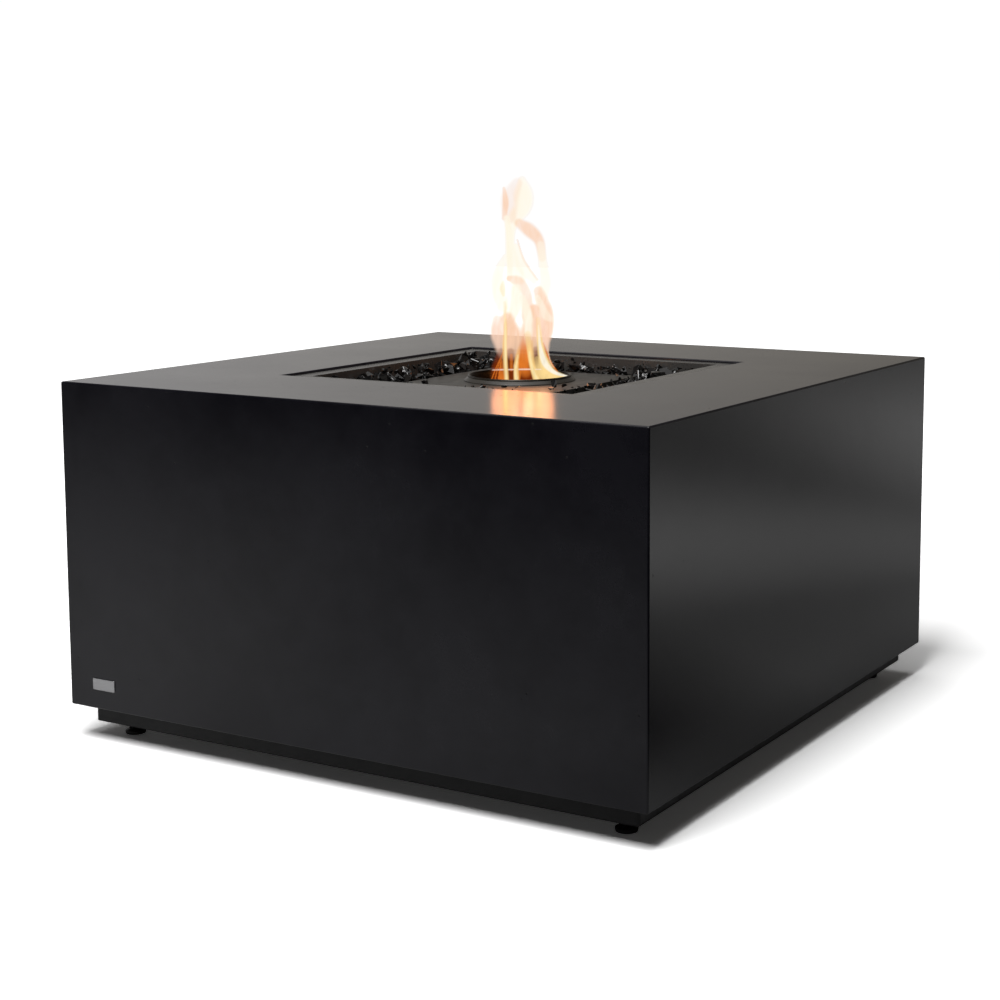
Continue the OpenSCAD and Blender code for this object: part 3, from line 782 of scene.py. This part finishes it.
def flame_gas():
    """Glows in the colours of the strokes; the light that it casts is stronger and warmer."""
    material = bpy.data.materials.new("flame_gas")
    material.use_nodes = True
    material.node_tree.nodes.clear()
    m = Nodes(material.node_tree)
    glow = m.node("ShaderNodeAttribute", attribute_name="glow")
    seen = m.is_ray("Camera")
    warmth = m.mix(seen, (1.0, 0.63, 0.45), (1.0, 1.0, 1.0))
    emission = m.node("ShaderNodeEmission")
    m.put(emission.inputs["Color"], m.mix(1.0, glow.outputs["Color"], warmth, blend="MULTIPLY"))
    m.put(emission.inputs["Strength"], m.remap(seen, 0, 1, 3.8, 1.0))
    wisps = m.remap(m.noise(1.0, 2, 0.5, m.scaled(160, 160, 22), 0.5), 0.3, 0.6, 0.88, 1.02)
    gas = m.node("ShaderNodeMixShader")
    m.put(gas.inputs[0], m.times(glow.outputs["Alpha"], wisps))
    m.put(gas.inputs[1], m.node("ShaderNodeBsdfTransparent").outputs[0])
    m.put(gas.inputs[2], emission.outputs[0])
    m.put(m.node("ShaderNodeOutputMaterial").inputs["Surface"], gas.outputs[0])
    return material


def flame():
    """A curved sheet of burning gas that faces the front view and rides with the burner."""
    X, Z = np.meshgrid(np.arange(-54, 66, 0.9), np.arange(0, 254, 0.9))
    rgb, alpha = flame_colours(X, Z)
    eye, eye_distance = camera.location, 2.25
    verts = []
    for x, z in zip(X.ravel(), Z.ravel()):
        p = RIGHT * (x / 1000) + Vector((0, 0, FLAME_BASE + z / 1000))
        deep = 0.026 * math.sin(x / 26 + 0.4) * min(1, 0.4 + z / 150) + 0.010 * math.sin(z / 30)
        verts.append(eye + (p - eye) * (1 + deep / eye_distance))
    rows, columns = X.shape
    burning = alpha > 0.01
    faces = []
    for i in range(rows - 1):
        for j in range(columns - 1):
            if burning[i:i + 2, j:j + 2].any():
                a = i * columns + j
                faces.append((a, a + 1, a + columns + 1, a + columns))
    sheet = from_data("flame", verts, faces)
    glow = sheet.data.attributes.new("glow", "FLOAT_COLOR", "POINT")
    glow.data.foreach_set("color", np.concatenate([rgb, alpha[..., None]], axis=2).ravel())
    sheet.data.materials.append(flame_gas())
    shade_smooth(sheet)
    sheet.parent = frame["bodies"]["burner_unit"]


flame()


# ---------------------------------------------------------------- floor and light
def painted_room_light(m):
    """What the sides mirror, painted as light and shade on the floor: dark in front, paler beside the object,
    and bright as a wall behind it at the right.
    """
    right, away = m.along(RIGHT), m.along(AWAY)
    painted_dark_room = m.times(m.remap(away, -1.70, -0.4, 0.01, 0.55), m.remap(right, -0.2, 0.7, 1.0, 0.52))
    left_end = m.remap(m.along((1, -0.574, 0)), -0.1, 0.2, 1.12, 0.8)
    front = m.remap(away, -1.7, -1.2, 0.8, left_end)
    beside = m.remap(right, 0.25, 0.5, 1.0, m.remap(away, -0.35, 0.0, 0.02, 1.22))
    wall = m.remap(right, 0.95, 1.5, 1.0, m.remap(away, 0.2, 0.9, 5.2, 1.4))
    behind = m.remap(away, 1.0, 1.8, 1.0, 3.3)
    return m.times(painted_dark_room, front, beside, wall, behind)


def studio_floor():
    """White with a soft shadow where the camera sees it; darker in what the object mirrors, with painted
    light and shade of the room.
    """
    reach = 9
    corners = [(-reach, -reach, 0), (reach, -reach, 0), (reach, reach, 0), (-reach, reach, 0)]
    floor = from_data("floor", corners, [(0, 1, 2, 3)])
    m = Finish("studio_floor", rough=0.9, specular=0.0)
    seen = m.is_ray("Camera")
    painted_light_map = painted_room_light(m)
    painted_reflection = m.node("ShaderNodeCombineColor")
    for channel in ("Red", "Green", "Blue"):
        m.put(painted_reflection.inputs[channel], painted_light_map)
    # reflections see the painted light and shade of the room; the camera sees a colour above white
    m.set("Base Color", m.mix(seen, painted_reflection.outputs[0], (1.92, 1.92, 1.92)))
    m.set("Emission Color", (1, 1, 1, 1))
    # near the object the floor glows faintly, painted light that lifts its shadow; beyond the shadow the
    # floor glows white, so that it meets the backdrop without a line
    from_centre = m.vector_math("LENGTH", m.coord)
    m.set("Emission Strength", m.times(seen, m.remap(from_centre, 0.95, 1.7, 0.022, 1.1)))
    floor.data.materials.append(m.material)


def studio_world():
    """White to the camera. The object has a pale wall beyond it, and mirrors a dim glow behind the camera."""
    world = bpy.data.worlds.new("studio")
    bpy.context.scene.world = world
    world.use_nodes = True
    m = Nodes(world.node_tree, "Generated")
    right, up = m.along(RIGHT), m.along((0, 0, 1))
    wall = m.times(m.remap(m.along((AWAY.x, AWAY.y, 0.15)), -0.2, 0.8, 0.08, 1.0),
                   m.remap(right, -0.30, 0.22, 0.62, 0.225), m.remap(up, 0.085, 0.45, 1.0, 0.12))
    glow = m.times(m.remap(m.along(-AWAY), 0.25, 0.8, 0.0, 0.30), m.remap(up, 0.17, 0.26), m.is_ray("Glossy"))
    room = m.tree.nodes["Background"]
    m.put(room.inputs["Strength"], m.math("ADD", wall, glow))
    m.put(room.inputs["Color"], m.mix(m.remap(right, -0.25, 0.20), (1.0, 0.98, 0.97), (1.0, 0.93, 0.82)))
    backdrop = m.node("ShaderNodeBackground")
    m.put(backdrop.inputs["Color"], (1, 1, 1, 1))
    m.put(backdrop.inputs["Strength"], 1.02)
    choice = m.node("ShaderNodeMixShader")
    m.put(choice.inputs[0], m.is_ray("Camera"))
    m.put(choice.inputs[1], room.outputs[0])
    m.put(choice.inputs[2], backdrop.outputs[0])
    m.put(m.tree.nodes["World Output"].inputs["Surface"], choice.outputs[0])


def area_light(name, place, target, size, power):
    data = bpy.data.lights.new(name, "AREA")
    data.shape = "RECTANGLE"
    data.size, data.size_y = size
    data.energy = power
    ob = bpy.data.objects.new(name, data)
    bpy.context.scene.collection.objects.link(ob)
    ob.location = place
    ob.rotation_euler = (Vector(target) - Vector(place)).to_track_quat("-Z", "Y").to_euler()


studio_floor()
studio_world()
area_light("key", (0.15, -1.5, 3.2), (0, -0.2, 0), (1.3, 2.0), 92)
area_light("ambient", (-0.3, 0.0, 3.4), (0, 0, 0), (3.4, 3.4), 32)
